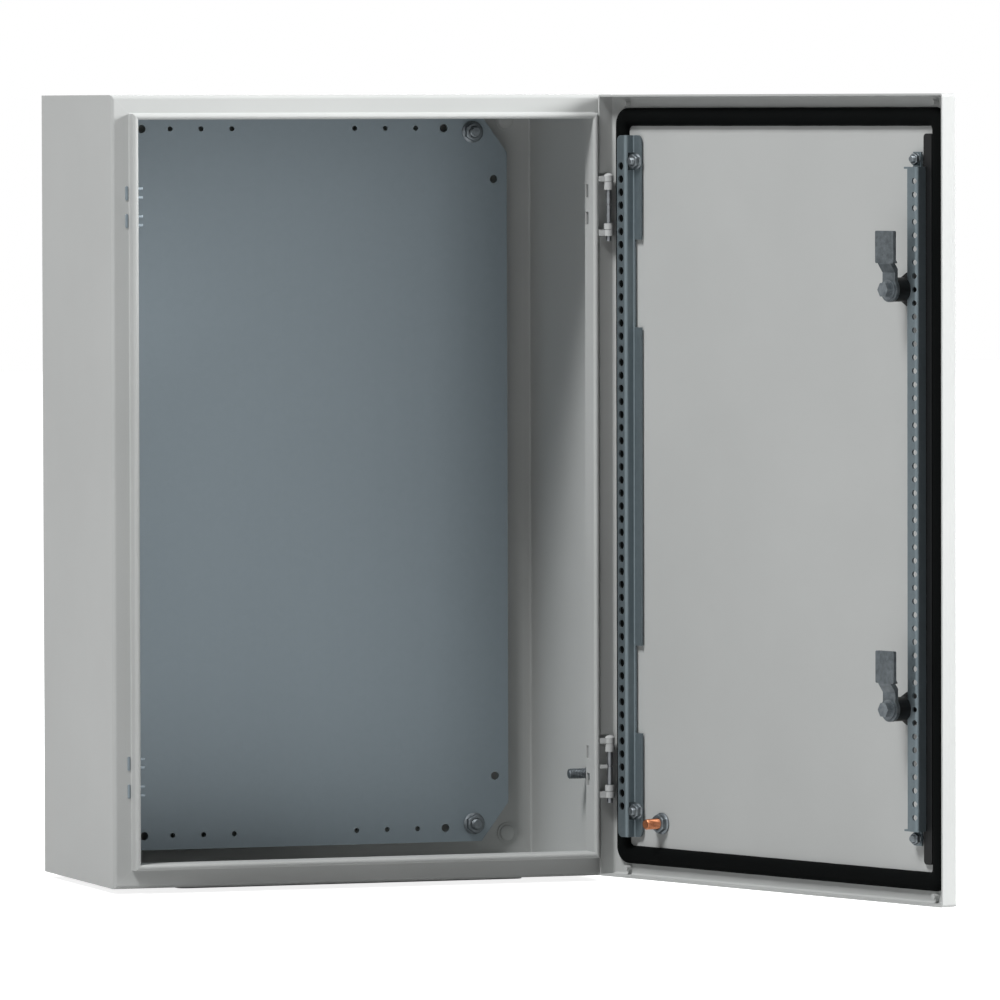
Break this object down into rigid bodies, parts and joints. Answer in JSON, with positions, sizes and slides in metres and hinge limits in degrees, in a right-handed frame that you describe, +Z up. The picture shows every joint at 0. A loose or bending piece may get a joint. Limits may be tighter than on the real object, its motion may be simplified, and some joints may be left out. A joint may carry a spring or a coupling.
{
  "type": "wall enclosure",
  "caption": "Steel wall enclosure with a hinged door on captive pins, two quarter-turn cam locks, a galvanised mounting plate, a foamed gasket, door rails and a bottom gland plate.",
  "frame": {"origin": "middle of the back face, centred between the four wall holes", "axes": "+Z up, +X to the right as seen from the front, the closed door faces -Y; the back face looks to +Y"},
  "size_m": [0.5364, 0.5726, 0.6035],
  "materials": {
    "body_paint": "fine-textured light grey powder coat",
    "door_paint": "fine-textured light grey powder coat",
    "hinge_paint": "light grey powder coat over zinc die casting",
    "galvanised_plate": "hot-dip galvanised sheet, matt",
    "galvanised_rail": "galvanised strip, matt",
    "zinc_plated": "bright zinc plated",
    "pin_steel": "drawn steel, zinc plated",
    "gasket_foam": "foamed-in-place polyurethane, satin skin",
    "black_plastic": "matt black plastic",
    "black_lock": "black coated zinc die casting",
    "cam_steel": "pressed steel, dull zinc plated",
    "copper": "copper-plated weld stud"
  },
  "bodies": {
    "body": {"left_wall": "body_paint", "right_wall": "body_paint", "top_wall": "body_paint", "bottom_wall": "body_paint", "back_wall": "body_paint", "plate_studs": "zinc_plated", "mounting_plate": "galvanised_plate", "plate_nuts": "zinc_plated", "gland_plate": "body_paint", "gland_gasket": "gasket_foam", "gland_screws": "zinc_plated", "body_hinge_upper": "hinge_paint", "body_hinge_lower": "hinge_paint", "hinge_pin_upper": "pin_steel", "hinge_pin_lower": "pin_steel", "hinge_slot_plugs": "black_plastic", "body_earth_stud": "zinc_plated"},
    "door": {"door_shell": "door_paint", "door_gasket": "gasket_foam", "door_edge_strip": "black_plastic", "hinge_side_rail": "galvanised_rail", "lock_side_rail": "galvanised_rail", "rail_studs": "zinc_plated", "rail_nuts": "zinc_plated", "door_hinge_upper": "hinge_paint", "door_hinge_lower": "hinge_paint", "door_earth_stud": "copper", "door_earth_nut": "zinc_plated", "lock_body_upper": "black_lock", "lock_body_lower": "black_lock", "lock_nut_upper": "black_lock", "lock_nut_lower": "black_lock"},
    "lock_upper": {"lock_core_upper": "zinc_plated", "cam_upper": "cam_steel", "cam_washer_upper": "zinc_plated", "cam_bolt_upper": "zinc_plated"},
    "lock_lower": {"lock_core_lower": "zinc_plated", "cam_lower": "cam_steel", "cam_washer_lower": "zinc_plated", "cam_bolt_lower": "zinc_plated"}
  },
  "joints": [
    {"name": "door_hinge", "type": "hinge", "parent": "body", "child": "door", "pos_m": [0.194, -0.2008, 0], "axis": [0, 0, 1], "range_deg": [-110, 20]},
    {"name": "lock_turn_upper", "type": "hinge", "parent": "door", "child": "lock_upper", "pos_m": [0.30723, -0.52886, 0.155], "axis": [0.9397, 0.342, 0], "range_deg": [0, 90]},
    {"name": "lock_turn_lower", "type": "hinge", "parent": "door", "child": "lock_lower", "pos_m": [0.30723, -0.52886, -0.155], "axis": [0.9397, 0.342, 0], "range_deg": [0, 90]}
  ]
}
